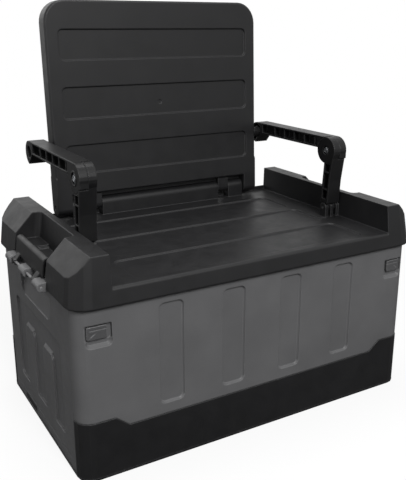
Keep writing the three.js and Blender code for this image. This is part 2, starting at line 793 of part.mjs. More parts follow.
// raised tongue and shallow step on the notch floor
function notchTongue() {
  const outerX = sillX - notch.tongueInset;
  const line = roundedOutline(
    notchFloorX - notch.tongueRadius, outerX, notch.tongueY, notch.half + lidSkin, notch.tongueRadius,
  );
  const zone = block(notchFloorX - lidSkin / 2, sillX, notch.tongueY, notch.half + lidSkin / 2, 0, humpTopZ);
  return prismZ(line, seatZ - seatDeck / 2, seatZ + notch.tongueRise).intersect(zone);
}

function notchStepCut() {
  return block(
    notchFloorX, sillX - notch.stepInset, -notch.stepFront, notch.stepRear,
    seatZ - notch.stepDepth, seatZ + overrun,
  );
}

// side clips: a plate flush with the lid side, a lip over the lid sill, hooks on the rod
const clip = {
  thickness: 3.2, proud: 1, lugRoom: 1.5, half: 62, reach: 18.5, lipLift: 1.5, lipThickness: 3, softTop: 4,
  hookRadius: 4.3, hookWidth: 12, hookRoom: 1.5, mouthShare: 0.35,
};
const clipTopZ = humpTopZ - hump.shoulder;
const clipLowZ = rodZ + lug.radius + clip.lugRoom;

// outer and inner faces of the clip plate at a height
function clipX(z) {
  return lidSideX(z) + clip.proud;
}

function plateX(z) {
  return clipX(z) - clip.thickness;
}

function makeClip() {
  const shoulderZ = clipTopZ - clip.softTop;
  const slab = (half, top) => prismY(outline([
    [plateX(clipLowZ), clipLowZ], [clipX(clipLowZ), clipLowZ], [clipX(top), top], [plateX(top), top],
  ]), -half, half);
  const lipX = rodX - clip.reach;
  const lipZ = seatZ + clip.lipLift;
  const t = clip.lipThickness;
  const lipLine = outline([
    [lipX, lipZ],
    [lipX + t, lipZ],
    [lipX + t, clipTopZ - t],
    [plateX(clipTopZ - t) - t / 3, clipTopZ - t],
    [plateX(clipTopZ - 2 * t), clipTopZ - 2 * t],
    [plateX(lipZ), lipZ],
    [clipX(lipZ), lipZ],
    [clipX(shoulderZ), shoulderZ],
    [clipX(clipTopZ) - clip.softTop / 3, clipTopZ - clip.softTop / 3],
    [clipX(clipTopZ) - clip.softTop, clipTopZ],
    [lipX + t / 2, clipTopZ],
    [lipX, clipTopZ - t / 2],
  ]);
  const lip = prismY(lipLine, -clip.half, clip.half);
  const bore = barY(rodX, rodZ, rod.radius + pieceGap, -boxHalfDepth, boxHalfDepth);
  const mouth = block(
    rodX + rod.radius * clip.mouthShare, rodX + overrun,
    -boxHalfDepth, boxHalfDepth, rodZ - rod.radius - pieceGap, rodZ + rod.radius + pieceGap,
  );
  const hookOuterY = lugEndY - lug.length - clip.hookRoom;
  const hookInnerY = hookOuterY - clip.hookWidth;
  const hook = barY(rodX, rodZ, clip.hookRadius, hookInnerY, hookOuterY);
  const link = prismY(outline([
    [plateX(clipLowZ), clipLowZ + clip.thickness], [plateX(clipLowZ), clipLowZ],
    [rodX - clip.hookRadius, rodZ], [rodX, rodZ], [rodX, rodZ + clip.hookRadius],
    [clipX(clipLowZ), clipLowZ + clip.thickness],
  ]), hookInnerY, hookOuterY);
  const hooks = bothEnds(cut(hook.add(link), bore, mouth));
  const whole = join(slab(clip.half, shoulderZ), lip, hooks);
  return shifted(whole, -rodX, 0, -rodZ);
}

// room for a clip in the side of the lid, wider over the lugs
function clipRoom() {
  const low = lidLowerZ - overrun;
  const beyond = lidHalfWidth + overrun;
  const upper = block(sillX, beyond, -notch.half, notch.half, low, humpTopZ);
  const half = lugEndY + rod.endProud + 2 * pieceGap;
  return upper.add(block(sillX, beyond, -half, half, low, clipLowZ));
}

function makeRod() {
  return barY(0, 0, rod.radius, -lugEndY - rod.endProud, lugEndY + rod.endProud);
}

function makeLid() {
  const markX = armInnerX - slotMark.nearArm;
  const slots = bothSides(block(
    markX - slotMark.length, markX, -slotMark.front, -slotMark.rear, seatZ - slotMark.depth, seatZ + overrun,
  ));
  const shell = cut(lidForm(0), frontEdgeCut(), lidForm(lidSkin));
  const ribbed = join(shell, humpRibs(), deckRibs(), restLedge(), bothSides(notchTongue()));
  const opened = cut(ribbed, bothSides(clipRoom()), seatPanelCuts(), slots, bothSides(notchStepCut()));
  return addKnuckles(opened.add(makeRearSill())).add(bothSides(legDrum()));
}

// backrest: a skin with three long recesses, side walls and ribs behind, built upright from its pivot
const back = {
  bottom: 19, cornerRadius: 34, lowRadius: 6, footRadius: 10, skin: 5, wall: 3, soft: 2.5,
  rib: 1.2, ribSink: 2, ribPitch: 62, ribCount: 6, shelfCount: 4, legDrop: 12.5, fingerRadius: 9.5,
  saddleLow: 2.2, saddleRoom: 1,
};
const backPanel = { margin: 20, radius: 8, depth: 3, slope: 1.2 };
const backPanelShares = [[0.166, 0.311], [0.438, 0.594], [0.72, 0.866]];
const dimple = { heightShare: 0.5, radius: 3.5, depth: 0.8 };
const armBoss = { radius: 8, depth: 17.5 };
const armScrew = {
  radius: 3, headRadius: 6.5, headHeight: 3, reach: 14.5, driveRadius: 3.2, driveDepth: 1.6,
};
const spacer = { radius: 9 };

// pivot of the armrest in the leaned frame of the backrest
const lean = THREE.MathUtils.degToRad(backLean);
const bossY = -linkHeight * Math.sin(lean);
const bossZ = linkHeight * Math.cos(lean);

function backOutline(inset) {
  return roundedOutline(
    inset - backHalfWidth, backHalfWidth - inset, back.bottom + inset, backTop - inset,
    Math.max(back.lowRadius - inset, inset), back.cornerRadius - inset,
  );
}

// ribs behind the skin
function backRibs() {
  const reach = backHalfWidth - back.wall / 2;
  const y0 = back.skin / 2 - backFront;
  const y1 = backRear - back.ribSink;
  const uprights = spread(back.ribCount, back.ribPitch).map((x) => block(
    x - back.rib, x + back.rib, y0, y1, back.bottom, backTop - back.wall / 2,
  ));
  const shelves = spread(back.shelfCount, back.ribPitch).map((step) => {
    const z = backTop / 2 + step;
    return block(-reach, reach, y0, y1, z - back.rib, z + back.rib);
  });
  return join(...uprights, ...shelves).intersect(prismY(backOutline(back.wall / 2), -backFront, backRear));
}

// side posts that reach down beside the hinge blocks
function backPosts() {
  const innerX = knuckleOuterX + 2 * hingeGap;
  const line = roundedOutline(
    -backFront, backRear, -back.legDrop, back.bottom + back.cornerRadius, back.footRadius, back.lowRadius,
  );
  const hollow = block(
    innerX + back.wall, backHalfWidth - back.wall,
    back.skin - backFront, backRear + overrun, knuckle.radius, backTop / 2,
  );
  const boss = barX(
    bossY, bossZ, armBoss.radius, backHalfWidth - armBoss.depth, backHalfWidth - back.wall / 2, smallSteps,
  );
  return bothSides(join(cut(prismX(line, innerX, backHalfWidth), hollow), boss));
}

// fingers between the long and the short hinge blocks
function backFingers() {
  const x0 = knuckleLongX + hingeGap;
  const x1 = knuckleInnerX - hingeGap;
  const round = barX(0, 0, back.fingerRadius, x0, x1, smallSteps);
  const root = block(x0, x1, -back.fingerRadius, back.fingerRadius, 0, back.bottom + back.wall);
  return bothSides(round.add(root));
}

// strip under the lower edge that closes over the barrels of the hinge blocks
function backSaddle() {
  const reach = knuckleOuterX;
  const strip = block(-reach, reach, 0, backRear, back.saddleLow, back.bottom + back.wall);
  return cut(strip, barX(0, 0, knuckle.radius + back.saddleRoom, -reach - overrun, reach + overrun));
}

function makeBackrest() {
  const outer = prismY(backOutline(0), -backFront, backRear, back.soft);
  const hollow = prismY(backOutline(back.wall), back.skin - backFront, backRear + overrun);
  const screwHole = barX(
    bossY, bossZ, armScrew.radius + pieceGap,
    backHalfWidth - armScrew.reach - pieceGap, backHalfWidth + overrun, smallSteps,
  );
  const panelHalf = backHalfWidth - backPanel.margin;
  const panels = backPanelShares.map(([low, high]) => prismY(
    roundedOutline(-panelHalf, panelHalf, low * backTop, high * backTop, backPanel.radius),
    -backFront - overrun, backPanel.depth - backFront, backPanel.slope,
  ));
  const gate = barY(
    0, dimple.heightShare * backTop, dimple.radius,
    -backFront - overrun, backPanel.depth + dimple.depth - backFront,
  );
  const solid = join(cut(outer, hollow), backRibs(), backPosts(), backFingers(), backSaddle());
  const pinReach = backHalfWidth + overrun;
  const pinBore = barX(0, 0, backPin.radius + pieceGap, -pinReach, pinReach, smallSteps);
  return cut(solid, pinBore, bothSides(screwHole), gate, ...panels);
}

function makeBackPin() {
  const half = backHalfWidth - backPin.sink;
  return barX(0, 0, backPin.radius, -half, half, smallSteps);
}

// armrest, from its pivot on the backrest to the elbow
const arm = {
  beam: 19.5, rearTop: 17, flange: 2.8, rib: 1.25, cellStart: 17.4, cellLength: 160.6, rim: 3, hubRadius: 10,
  screwRoom: 9.5,
};
const armCellShares = [0, 0.247, 0.427, 0.605, 0.783, 0.96, 1];
const lobe = { radius: 18.7, drop: 1.5, front: 14, foot: 3 };
const cheek = { front: 21, low: 11.5 };
const elbowScrew = {
  radius: 3, flangeRadius: 7.8, flangeHeight: 1.2, headRadius: 4.8, headHeight: 2.8,
  boreRadius: 8.5, boreDepth: 3.6, ringRadius: 10.5, ringProud: 0.8,
};
const elbowNut = { radius: 5.6, thickness: 3.4, recessRadius: 7, sink: 0.4 };
const screwSeatX = armOuterX + elbowScrew.ringProud - elbowScrew.boreDepth;

// bar along X about the elbow, seen from the pivot at the backrest
function elbowBar(radius, x0, x1, steps) {
  return barX(-armReach, elbowDropZ, radius, x0, x1, steps);
}

// top line of the beam, from the backrest to the elbow
function beamTop(y) {
  const elbowTop = elbowDropZ + elbowRadius;
  return arm.rearTop + (elbowTop - arm.rearTop) * -y / armReach;
}

// four-sided stretch of the beam between two places
function beamStretch(y0, y1, inset, x0, x1) {
  const low = (y) => beamTop(y) - arm.beam + inset;
  const high = (y) => beamTop(y) - inset;
  return prismX(outline([[y0, low(y0)], [y1, low(y1)], [y1, high(y1)], [y0, high(y0)]]), x0, x1);
}

// row of open cells on one side of the beam
function beamCells(x0, x1) {
  const places = armCellShares.map((share) => -arm.cellStart - share * arm.cellLength);
  const cells = places.slice(1).map((place, i) => beamStretch(
    place + arm.rib, places[i] - arm.rib, arm.flange, x0, x1,
  ));
  return join(...cells);
}

// round rear end with its lower front corner cut off on a slant, set in from its outline
function lobeForm(inset, x0, x1) {
  const radius = lobe.radius - inset;
  const round = barX(0, -lobe.drop, radius, x0, x1);
  const reach = lobe.radius + overrun;
  const front = inset - lobe.front;
  const behind = prismX(outline([
    [front, -lobe.drop + inset], [lobe.foot + inset, -lobe.drop - lobe.radius + inset / 2],
    [lobe.foot + inset, -reach], [reach, -reach], [reach, reach], [front, reach],
  ]), x0, x1);
  return round.intersect(behind);
}

function makeArm() {
  const beam = beamStretch(-armReach, 0, 0, armInnerX, armOuterX);
  const cheekInner = elbowSplitX + pieceGap;
  const ringEnd = armOuterX + elbowScrew.ringProud;
  const cheekFront = block(
    cheekInner, armOuterX, -armReach - cheek.front, -armReach, elbowDropZ - cheek.low, elbowDropZ,
  );
  const discRoom = elbowBar(elbowRadius + 2 * pieceGap, armInnerX - overrun, cheekInner);
  const hub = barX(0, 0, arm.hubRadius, 0, webInnerX, smallSteps);
  const solid = cut(beam.add(lobeForm(0, armInnerX, armOuterX)), discRoom);
  const whole = join(
    solid, elbowBar(elbowRadius, cheekInner, armOuterX), cheekFront,
    elbowBar(elbowScrew.ringRadius, cheekInner, ringEnd, smallSteps),
  );
  return cut(
    whole,
    elbowBar(elbowScrew.boreRadius, screwSeatX, armOuterX + overrun, smallSteps),
    elbowBar(elbowScrew.radius + pieceGap, armInnerX, armOuterX + overrun, smallSteps),
    barX(0, 0, armScrew.radius + pieceGap, armInnerX - overrun, armOuterX, smallSteps),
    barX(0, 0, arm.screwRoom, webOuterX, armOuterX + overrun, smallSteps),
    cut(lobeForm(arm.rim, armInnerX - overrun, webInnerX), hub),
    beamCells(webOuterX, armOuterX + overrun),
    beamCells(armInnerX - overrun, webInnerX),
  );
}

// leg under the elbow, from its pivot on the lid
const leg = {
  topFront: 20, kneeFront: 12.5, kneeZ: 47, footFront: 9.5, topBack: 1, footBack: 8, footZ: 8.1,
  plate: 3.5, rim: 3, cellLow: 14, cellLength: 61, rib: 1.25, fingerRadius: 6.5,
};
const legCellShares = [0, 0.28, 0.75, 1];
const legFingers = drumRings.slice(1).map(([start], i) => [drumRings[i][1] + hingeGap, start - hingeGap]);

// front and back faces of the leg at a height
function legFront(z) {
  if (z < leg.kneeZ) return -leg.footFront - (leg.kneeFront - leg.footFront) * z / leg.kneeZ;
  return -leg.kneeFront - (leg.topFront - leg.kneeFront) * (z - leg.kneeZ) / (linkHeight - leg.kneeZ);
}

function legBack(z) {
  return leg.footBack + (leg.topBack - leg.footBack) * z / linkHeight;
}

// open cells on one side of the leg
function legCells(x0, x1) {
  const places = legCellShares.map((share) => leg.cellLow + share * leg.cellLength);
  const cells = places.slice(1).map((place, i) => {
    const z0 = places[i] + leg.rib;
    const z1 = place - leg.rib;
    return prismX(outline([
      [legFront(z0) + leg.plate, z0], [legBack(z0) - leg.rim, z0],
      [legBack(z1) - leg.rim, z1], [legFront(z1) + leg.plate, z1],
    ]), x0, x1);
  });
  return join(...cells);
}

function makeLeg() {
  const shaft = prismX(outline([
    [legFront(leg.footZ), leg.footZ], [legBack(leg.footZ), leg.footZ],
    [legBack(linkHeight), linkHeight], [legFront(linkHeight), linkHeight], [legFront(leg.kneeZ), leg.kneeZ],
  ]), armInnerX, armOuterX);
  const beyond = armOuterX + overrun;
  const outerTrim = block(
    elbowSplitX, beyond, -leg.topFront - overrun, overrun,
    linkHeight - cheek.low - pieceGap, linkHeight + overrun,
  );
  const cheekRoom = barX(0, linkHeight, elbowRadius + 2 * pieceGap, elbowSplitX, beyond);
  const disc = barX(0, linkHeight, elbowRadius, armInnerX, elbowSplitX);
  const fingers = legFingers.map(([x0, x1]) => {
    const root = block(x0, x1, -leg.fingerRadius, leg.fingerRadius, 0, leg.footZ + leg.rim);
    return root.add(barX(0, 0, leg.fingerRadius, x0, x1, smallSteps));
  });
  const pinHole = barX(0, 0, legPin.radius + pieceGap, armInnerX, armOuterX, smallSteps);
  const screwHole = barX(
    0, linkHeight, elbowScrew.radius + pieceGap, armInnerX - overrun, armOuterX, smallSteps,
  );
  const nutRoom = barX(
    0, linkHeight, elbowNut.recessRadius, armInnerX - overrun, armInnerX + elbowNut.thickness, smallSteps,
  );
  const body = cut(
    shaft, outerTrim, cheekRoom, legCells(webOuterX, beyond), legCells(armInnerX - overrun, webInnerX),
  );
  return cut(join(body, disc, ...fingers), pinHole, screwHole, nutRoom);
}

// fasteners
function makeArmScrew() {
  const tipX = backHalfWidth - armScrew.reach;
  const headX = webOuterX + pieceGap;
  const topX = webOuterX + armScrew.headHeight;
  const shank = barX(0, 0, armScrew.radius, tipX, headX + pieceGap, smallSteps);
  const head = barX(0, 0, armScrew.headRadius, headX, topX, smallSteps);
  const drive = barX(0, 0, armScrew.driveRadius, topX - armScrew.driveDepth, topX + overrun, hexSteps);
  return cut(shank.add(head), drive);
}

function makeSpacer() {
  const sleeve = barX(0, 0, spacer.radius, backHalfWidth + pieceGap, armInnerX - pieceGap, smallSteps);
  return cut(sleeve, barX(0, 0, armScrew.radius + pieceGap, 0, armOuterX, smallSteps));
}

function makeElbowScrew() {
  const headX = screwSeatX + pieceGap;
  const topX = headX + elbowScrew.headHeight;
  const shank = elbowBar(elbowScrew.radius, armInnerX, headX + pieceGap, smallSteps);
  const flange = elbowBar(elbowScrew.flangeRadius, headX, headX + elbowScrew.flangeHeight, smallSteps);
  const head = elbowBar(elbowScrew.headRadius, headX, topX, smallSteps);
  const drive = elbowBar(armScrew.driveRadius, topX - armScrew.driveDepth, topX + overrun, hexSteps);
  return cut(join(shank, flange, head), drive);
}

function makeElbowNut() {
  const nut = elbowBar(
    elbowNut.radius, armInnerX + elbowNut.sink, armInnerX + elbowNut.thickness - pieceGap, hexSteps,
  );
  return cut(nut, elbowBar(elbowScrew.radius + pieceGap, 0, armOuterX, smallSteps));
}

// storage box
addPart('base_tray', toGeometry(makeBaseTray()), blackPlastic);
const longWall = toGeometry(makeLongWall());
addPart('front_wall', longWall, greyPlastic);
addPart('rear_wall', longWall.clone(), greyPlastic).rotation.z = 2 * quarterTurn;
addPair('end_wall', makeEndWall(), greyPlastic);
const frontLatch = makeLatch();
addPair('front_latch', frontLatch, greyPlastic);
const rearLatch = toGeometry(frontLatch);
addPart('left_rear_latch', rearLatch, greyPlastic).rotation.z = 2 * quarterTurn;
addPart('right_rear_latch', mirrored(rearLatch), greyPlastic).rotation.z = 2 * quarterTurn;
addPair('clip_rod', makeRod(), greyPlastic, rodX, 0, rodZ);
addPair('lid_clip', makeClip(), blackPlastic, rodX, 0, rodZ);

// seat lid and backrest
addPart('lid', toGeometry(makeLid()), blackPlastic);
addPart('backrest', toGeometry(makeBackrest()), blackPlastic, 0, backPivotY, backPivotZ).rotation.x = -lean;
addPart('backrest_pin', toGeometry(makeBackPin()), paleSteel, 0, backPivotY, backPivotZ);

// armrests and legs
addPair('arm', makeArm(), blackPlastic, 0, backPivotY, armPivotZ);
addPair('arm_screw', makeArmScrew(), paleSteel, 0, backPivotY, armPivotZ);
addPair('arm_spacer', makeSpacer(), blackPlastic, 0, backPivotY, armPivotZ);
addPair('elbow_screw', makeElbowScrew(), paleSteel, 0, backPivotY, armPivotZ);
addPair('elbow_nut', makeElbowNut(), paleSteel, 0, backPivotY, armPivotZ);
addPair('leg', makeLeg(), blackPlastic, 0, legPivotY, legPivotZ);
addPair('leg_pin', makeLegPin(), paleSteel, 0, legPivotY, legPivotZ);

export default group;
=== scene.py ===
# Fishing seat box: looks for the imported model, in metres, +Z up, -Y is the front.
import math

import bpy
from mathutils import Matrix, Vector


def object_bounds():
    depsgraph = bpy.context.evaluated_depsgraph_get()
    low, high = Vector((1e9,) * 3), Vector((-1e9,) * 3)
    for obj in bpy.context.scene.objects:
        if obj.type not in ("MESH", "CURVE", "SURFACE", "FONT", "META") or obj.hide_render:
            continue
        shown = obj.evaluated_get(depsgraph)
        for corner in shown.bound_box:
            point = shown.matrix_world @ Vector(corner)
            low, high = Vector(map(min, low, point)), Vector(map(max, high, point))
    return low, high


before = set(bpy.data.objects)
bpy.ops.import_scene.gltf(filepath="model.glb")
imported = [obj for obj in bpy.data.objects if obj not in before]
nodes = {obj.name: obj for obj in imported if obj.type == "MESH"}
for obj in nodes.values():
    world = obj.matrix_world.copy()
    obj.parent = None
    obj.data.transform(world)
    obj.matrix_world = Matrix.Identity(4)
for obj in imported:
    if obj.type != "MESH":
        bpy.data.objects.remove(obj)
cadLow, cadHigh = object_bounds()
mm = 0.001
print("frame loaded:", len(nodes), "nodes")


# camera, worked out from straight edges of the picture
cameraSet = {
    "place": (-0.5320, -0.9207, 0.5861),
    "yaw": 30.904,  # degrees, turned from +Y towards +X
    "pitch": 17.300,  # degrees, looking down
    "roll": -0.308,
    "focalPixels": 697.08,
    "centrePixel": (215.63, 236.15),
    "frameSize": (406, 480),
    "sensor": 36.0,  # mm
    "nearest": 0.05,
    "farthest": 50.0,
}


def makeCamera():
    yaw, pitch, roll = (math.radians(cameraSet[k]) for k in ("yaw", "pitch", "roll"))
    ahead = Vector((math.sin(yaw) * math.cos(pitch), math.cos(yaw) * math.cos(pitch), -math.sin(pitch)))
    across = Vector((math.cos(yaw), -math.sin(yaw), 0))
    down = ahead.cross(across)
    rightward = across * math.cos(roll) + down * math.sin(roll)
    downward = down * math.cos(roll) - across * math.sin(roll)
    data = bpy.data.cameras.new("camera")
    width, height = cameraSet["frameSize"]
    longSide = max(width, height)
    data.sensor_width = cameraSet["sensor"]
    data.lens = cameraSet["focalPixels"] * cameraSet["sensor"] / longSide
    data.shift_x = (width / 2 - cameraSet["centrePixel"][0]) / longSide
    data.shift_y = (cameraSet["centrePixel"][1] - height / 2) / longSide
    data.clip_start = cameraSet["nearest"]
    data.clip_end = cameraSet["farthest"]
    camera = bpy.data.objects.new("camera", data)
    camera.matrix_world = Matrix.Translation(cameraSet["place"]) @ Matrix(
        (rightward, -downward, -ahead)
    ).transposed().to_4x4()
    bpy.context.scene.collection.objects.link(camera)
    bpy.context.scene.camera = camera


makeCamera()
print("camera placed")


# colours are sRGB hex, shaders want linear
def linear(hexColor):
    channels = [int(hexColor[i:i + 2], 16) / 255 for i in (1, 3, 5)]
    return [c / 12.92 if c <= 0.04045 else ((c + 0.055) / 1.055) ** 2.4 for c in channels] + [1.0]


# one node with its settings and its links; a link is (node, "output") or a plain value
def addNode(tree, kind, settings=None, links=None):
    node = tree.nodes.new(kind)
    for name, value in (settings or {}).items():
        setattr(node, name, value)
    for name, value in (links or {}).items():
        socket = node.inputs[name]
        if isinstance(value, tuple) and hasattr(value[0], "outputs"):
            tree.links.new(value[0].outputs[value[1]], socket)
        else:
            socket.default_value = value
    return node


def newMaterial(name):
    material = bpy.data.materials.new(name)
    material.use_nodes = True
    material.node_tree.nodes.clear()
    return material, material.node_tree


# injection-moulded polypropylene copolymer with a spark-eroded grain: dull, a soft broad sheen,
# faint cloudy flow marks, rubbed spots where the grain is polished, rounded edges, and a painted highlight that
# makes every edge paler
polypropylene = {
    "ior": 1.49,
    "grainWidth": 1.1,  # mm, the real grain is about 0.15 mm and would not show
    "grainDepth": 0.05,  # mm
    "grainSoftness": 0.6,
    "grainRange": (0.15, 0.75),  # of the cell pattern, from pit to ridge
    "grainShare": 0.16,  # how far the ridges go to the paler colour
    "flowWidth": 70.0,  # mm, clouds of the melt
    "flowDetail": 3.0,
    "flowRoughness": 0.55,
    "flowRange": (0.35, 0.7),
    "flowShare": 0.55,  # how far the clouds go to the paler colour
    "rubWidth": 22.0,  # mm, hand-sized scuffs
    "rubDetail": 5.0,
    "rubRoughness": 0.65,
    "rubRange": (0.3, 0.72),
    "rubSwing": 0.07,  # roughness up where the grain is fresh, down where it is rubbed
    "scratchLength": 26.0,  # mm
    "scratchPerLength": 4.0,
    "scratchDetail": 2.0,
    "scratchStretch": 0.16,
    "scratchTurn": (0.4, 0.9, 0.3),  # radians
    "scratchRange": (0.6, 0.75),
    "scratchDepth": 0.35,  # share of the grain depth
    "reliefStrength": 0.55,
    "edgeRadius": 2.2,  # mm, moulded edges are softly rounded and catch the light
    "edgeSamples": 6,
    "edgeTurn": (0.985, 0.86),  # cosine of the turn of an edge where the painted edge highlight starts and is full
    "edgeHighlightShare": 0.75,
}


def mouldedPolypropylene(name, color, paleColor, edgeHighlightColor, roughness, specular):
    p = polypropylene
    material, tree = newMaterial(name)
    place = addNode(tree, "ShaderNodeTexCoord")
    flow = addNode(tree, "ShaderNodeTexNoise", links={
        "Vector": (place, "Object"), "Scale": 1 / (p["flowWidth"] * mm),
        "Detail": p["flowDetail"], "Roughness": p["flowRoughness"],
    })
    flowTone = addNode(tree, "ShaderNodeMapRange", links={
        "Value": (flow, "Fac"), "From Min": p["flowRange"][0], "From Max": p["flowRange"][1],
        "To Min": 0.0, "To Max": p["flowShare"],
    })
    grain = addNode(tree, "ShaderNodeTexVoronoi", {"feature": "SMOOTH_F1"}, {
        "Vector": (place, "Object"), "Scale": 1 / (p["grainWidth"] * mm),
        "Smoothness": p["grainSoftness"], "Randomness": 1.0,
    })
    speckle = addNode(tree, "ShaderNodeMapRange", links={
        "Value": (grain, "Distance"), "From Min": p["grainRange"][0], "From Max": p["grainRange"][1],
        "To Min": 0.0, "To Max": p["grainShare"],
    })
    tone = addNode(tree, "ShaderNodeMath", {"operation": "ADD"}, {
        0: (flowTone, "Result"), 1: (speckle, "Result"),
    })
    baseColor = addNode(tree, "ShaderNodeMix", {"data_type": "RGBA"}, {
        "Factor": (tone, "Value"), 6: linear(color), 7: linear(paleColor),
    })
    rub = addNode(tree, "ShaderNodeTexNoise", links={
        "Vector": (place, "Object"), "Scale": 1 / (p["rubWidth"] * mm),
        "Detail": p["rubDetail"], "Roughness": p["rubRoughness"],
    })
    gloss = addNode(tree, "ShaderNodeMapRange", links={
        "Value": (rub, "Fac"), "From Min": p["rubRange"][0], "From Max": p["rubRange"][1],
        "To Min": roughness + p["rubSwing"], "To Max": roughness - p["rubSwing"],
    })
    stretch = addNode(tree, "ShaderNodeMapping", links={
        "Vector": (place, "Object"), "Scale": (1.0, 1.0, p["scratchStretch"]), "Rotation": p["scratchTurn"],
    })
    scratch = addNode(tree, "ShaderNodeTexNoise", links={
        "Vector": (stretch, "Vector"), "Detail": p["scratchDetail"],
        "Scale": p["scratchPerLength"] / (p["scratchLength"] * mm),
    })
    scratchHeight = addNode(tree, "ShaderNodeMapRange", links={
        "Value": (scratch, "Fac"), "From Min": p["scratchRange"][0], "From Max": p["scratchRange"][1],
        "To Min": 0.0, "To Max": -p["scratchDepth"],
    })
    height = addNode(tree, "ShaderNodeMath", {"operation": "ADD"}, {
        0: (grain, "Distance"), 1: (scratchHeight, "Result"),
    })
    rounded = addNode(tree, "ShaderNodeBevel", {"samples": p["edgeSamples"]}, {"Radius": p["edgeRadius"] * mm})
    relief = addNode(tree, "ShaderNodeBump", links={
        "Strength": p["reliefStrength"], "Distance": p["grainDepth"] * mm, "Height": (height, "Value"),
        "Normal": (rounded, "Normal"),
    })
    surface = addNode(tree, "ShaderNodeNewGeometry")
    # painted highlight: wherever the rounded normal turns away from the face, at every edge, hollow or proud,
    # the colour goes towards the paler edge colour
    turn = addNode(tree, "ShaderNodeVectorMath", {"operation": "DOT_PRODUCT"}, {
        0: (rounded, "Normal"), 1: (surface, "Normal"),
    })
    paintedEdgeHighlight = addNode(tree, "ShaderNodeMapRange", links={
        "Value": (turn, "Value"), "From Min": p["edgeTurn"][0], "From Max": p["edgeTurn"][1],
        "To Min": 0.0, "To Max": p["edgeHighlightShare"],
    })
    colorWithEdgeHighlight = addNode(tree, "ShaderNodeMix", {"data_type": "RGBA"}, {
        "Factor": (paintedEdgeHighlight, "Result"), 6: (baseColor, 2), 7: linear(edgeHighlightColor),
    })
    shader = addNode(tree, "ShaderNodeBsdfPrincipled", links={
        "Base Color": (colorWithEdgeHighlight, 2), "Roughness": (gloss, "Result"), "Normal": (relief, "Normal"),
        "IOR": p["ior"], "Specular IOR Level": specular, "Metallic": 0.0,
    })
    addNode(tree, "ShaderNodeOutputMaterial", links={"Surface": (shader, "BSDF")})
    return material


# turned and zinc-plated steel: bright, slightly milky, with fine turning marks
zincSteel = {
    "color": "#c4c6c9", "dullColor": "#95989c",
    "roughness": 0.24, "dullSwing": 0.2,
    "cloudWidth": 3.0, "markWidth": 0.5, "markDepth": 0.02,  # mm
    "cloudDetail": 4.0, "markDetail": 1.0, "markStrength": 0.2,
}


def zincPlatedSteel():
    z = zincSteel
    material, tree = newMaterial("zinc_plated_turned_steel")
    place = addNode(tree, "ShaderNodeTexCoord")
    cloud = addNode(tree, "ShaderNodeTexNoise", links={
        "Vector": (place, "Object"), "Scale": 1 / (z["cloudWidth"] * mm), "Detail": z["cloudDetail"],
    })
    color = addNode(tree, "ShaderNodeMix", {"data_type": "RGBA"}, {
        "Factor": (cloud, "Fac"), 6: linear(z["color"]), 7: linear(z["dullColor"]),
    })
    marks = addNode(tree, "ShaderNodeTexNoise", links={
        "Vector": (place, "Object"), "Scale": 1 / (z["markWidth"] * mm), "Detail": z["markDetail"],
    })
    gloss = addNode(tree, "ShaderNodeMapRange", links={
        "Value": (cloud, "Fac"), "To Min": z["roughness"], "To Max": z["roughness"] + z["dullSwing"],
    })
    relief = addNode(tree, "ShaderNodeBump", links={
        "Strength": z["markStrength"], "Distance": z["markDepth"] * mm, "Height": (marks, "Fac"),
    })
    shader = addNode(tree, "ShaderNodeBsdfPrincipled", links={
        "Base Color": (color, 2), "Roughness": (gloss, "Result"), "Normal": (relief, "Normal"), "Metallic": 1.0,
    })
    addNode(tree, "ShaderNodeOutputMaterial", links={"Surface": (shader, "BSDF")})
    return material


# the edge colour of each material is a painted highlight laid on all its edges
blackMoulding = mouldedPolypropylene(
    "black_polypropylene_moulded", color="#141415", paleColor="#1b1b1c", edgeHighlightColor="#39393a",
    roughness=0.46, specular=0.3,
)
satinMoulding = mouldedPolypropylene(
    "black_polypropylene_satin", color="#111112", paleColor="#181818", edgeHighlightColor="#2b2b2c",
    roughness=0.42, specular=0.24,
)
greyMoulding = mouldedPolypropylene(
    "grey_polypropylene_moulded", color="#565657", paleColor="#626263", edgeHighlightColor="#707071",
    roughness=0.46, specular=0.3,
)
boltMoulding = mouldedPolypropylene(
    "dark_grey_polypropylene_bolt", color="#464647", paleColor="#505051", edgeHighlightColor="#747475",
    roughness=0.42, specular=0.34,
)
paleMoulding = mouldedPolypropylene(
    "pale_grey_polypropylene_rod", color="#6c6c6d", paleColor="#7b7b7c", edgeHighlightColor="#8d8d8e",
    roughness=0.4, specular=0.3,
)
steel = zincPlatedSteel()
print("materials made")


# finish of each CAD node: material, and rounding width in mm; a width of zero keeps the CAD faces as they are,
# for nodes with many cells or slight turns, whose edges the shader alone rounds
finishes = {
    "base_tray": (blackMoulding, 0), "front_wall": (greyMoulding, 0.8), "rear_wall": (greyMoulding, 0.8),
    "end_wall": (greyMoulding, 0.8), "front_latch": (boltMoulding, 0), "rear_latch": (boltMoulding, 0),
    "clip_rod": (paleMoulding, 0.3), "lid_clip": (satinMoulding, 0.8), "lid": (blackMoulding, 0),
    "backrest": (blackMoulding, 0), "backrest_pin": (steel, 0.3), "arm": (satinMoulding, 0),
    "arm_screw": (steel, 0.4), "arm_spacer": (satinMoulding, 0.3), "elbow_screw": (steel, 0.4),
    "elbow_nut": (steel, 0.3), "leg": (satinMoulding, 0), "leg_pin": (steel, 0.2),
}

rounding = {
    "weldGap": 0.005,  # mm
    "flatTurn": 0.6,  # degrees, faces that turn less are one face
    "edgeTurn": 32.0,  # degrees, edges that turn more are rounded
    "segments": 3,
    "flatWeight": 80,
}


def kindOf(name):
    for side in ("left_", "right_"):
        if name.startswith(side):
            return name[len(side):]
    return name


